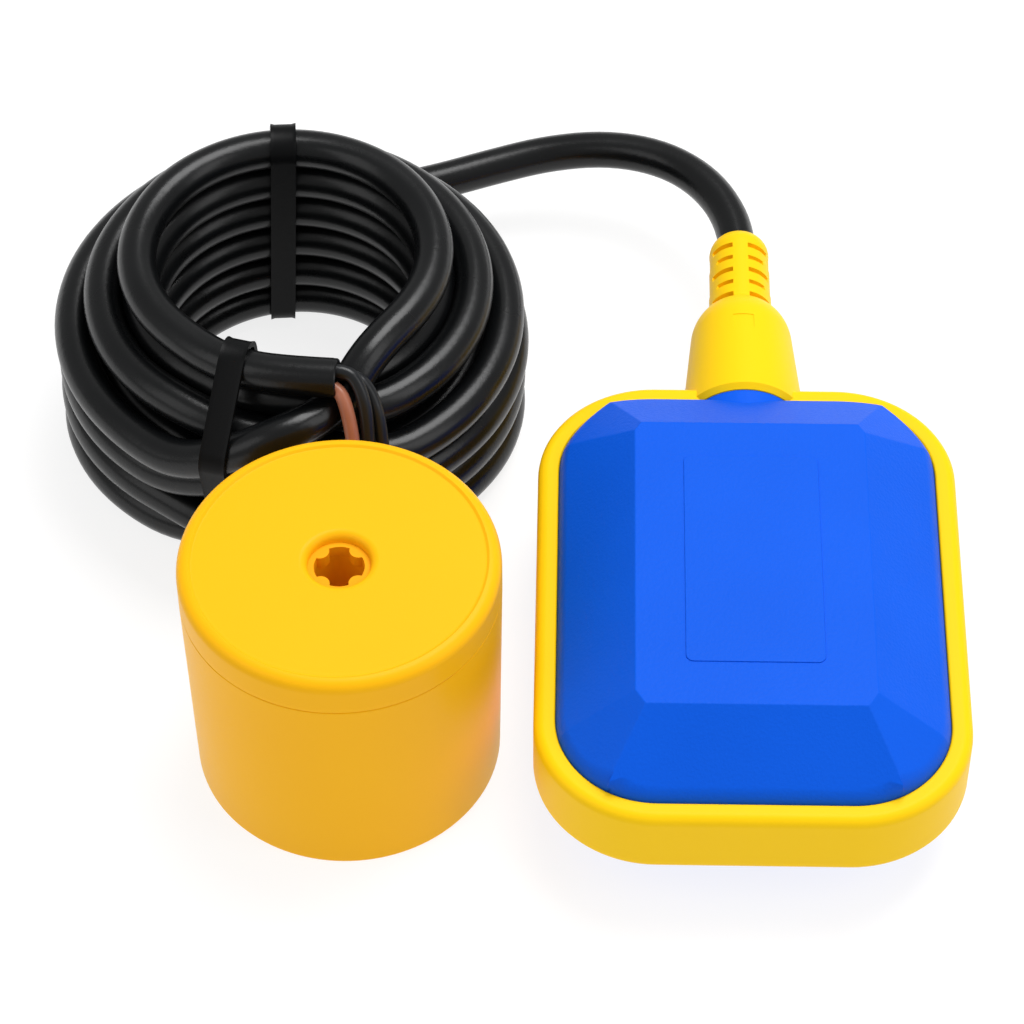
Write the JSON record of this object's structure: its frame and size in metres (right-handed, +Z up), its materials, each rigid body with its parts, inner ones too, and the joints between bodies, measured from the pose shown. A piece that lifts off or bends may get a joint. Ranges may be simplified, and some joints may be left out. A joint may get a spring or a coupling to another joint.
{
  "type": "cable float level switch",
  "caption": "Tilt-operated cable float level switch with a rolling-ball microswitch, a coiled cord and a loose cylindrical counterweight.",
  "frame": {"origin": "centre of the float's lower flat face, which lies on the floor", "axes": "+Z up through the float's thickness, +Y along the float towards its cord, +X across the float, away from the counterweight"},
  "size_m": [0.1765, 0.1836, 0.0543],
  "materials": {
    "frame_yellow": "moulded satin",
    "shell_blue": "moulded, fine grain",
    "inner_plastic": "moulded natural",
    "ball_steel": "polished",
    "lever_plastic": "moulded natural",
    "pin_steel": "bright",
    "switch_black": "moulded",
    "switch_red": "moulded",
    "contact_brass": "bright",
    "core_brown": "extruded",
    "core_black": "extruded",
    "seal_rubber": "moulded",
    "cord_rubber": "extruded, semi-gloss",
    "tie_black": "moulded nylon",
    "weight_yellow": "moulded satin",
    "stop_orange": "moulded satin",
    "ballast_iron": "as cast"
  },
  "bodies": {
    "housing": {"float_frame": "frame_yellow", "upper_shell": "shell_blue", "lower_shell": "shell_blue", "mechanism_tray": "inner_plastic", "mechanism_lid": "inner_plastic", "lever_pin": "pin_steel", "microswitch_case": "switch_black", "microswitch_cover": "switch_red", "common_terminal": "contact_brass", "normally_closed_terminal": "contact_brass", "normally_open_terminal": "contact_brass", "lead_common": "core_brown", "lead_normally_open": "core_black", "lead_normally_closed": "core_black", "cable_seal": "seal_rubber", "clamp_bar": "inner_plastic", "clamp_screws": "pin_steel", "cable_entry": "cord_rubber", "cord_tube": "cord_rubber", "cord_coil": "cord_rubber", "cord_end": "cord_rubber", "cable_tie_back": "tie_black", "cable_tie_front": "tie_black", "brown_core": "core_brown", "black_core_inner": "core_black", "black_core_outer": "core_black", "counterweight_body": "weight_yellow", "counterweight_lid": "weight_yellow", "cord_stop_ring": "stop_orange", "counterweight_ballast": "ballast_iron"},
    "ball": {"steel_ball": "ball_steel"},
    "lever": {"rocker_lever": "lever_plastic"},
    "button": {"plunger": "switch_red"},
    "blade": {"contact_blade": "contact_brass"}
  },
  "joints": [
    {"name": "ball_roll", "type": "slide", "parent": "housing", "child": "ball", "axis": [0, 1, 0], "range_m": [0, 0.0052]},
    {"name": "lever_rock", "type": "hinge", "parent": "housing", "child": "lever", "pos_m": [0, 0.006, 0.0318], "axis": [1, 0, 0], "range_deg": [0, 18]},
    {"name": "plunger_press", "type": "slide", "parent": "housing", "child": "button", "axis": [0, 1, 0], "range_m": [0, 0.0011], "stiffness_N_per_m": 30},
    {"name": "blade_flex", "type": "hinge", "parent": "housing", "child": "blade", "pos_m": [-0.0064, 0.0125, 0.0288], "axis": [0, 0, 1], "range_deg": [0, 7.8]}
  ],
  "couplings": [
    {"joint": "lever_rock", "follows": "ball_roll", "rad_per_m": 60},
    {"joint": "plunger_press", "follows": "ball_roll", "ratio": 0.21},
    {"joint": "blade_flex", "follows": "ball_roll", "rad_per_m": 26}
  ]
}
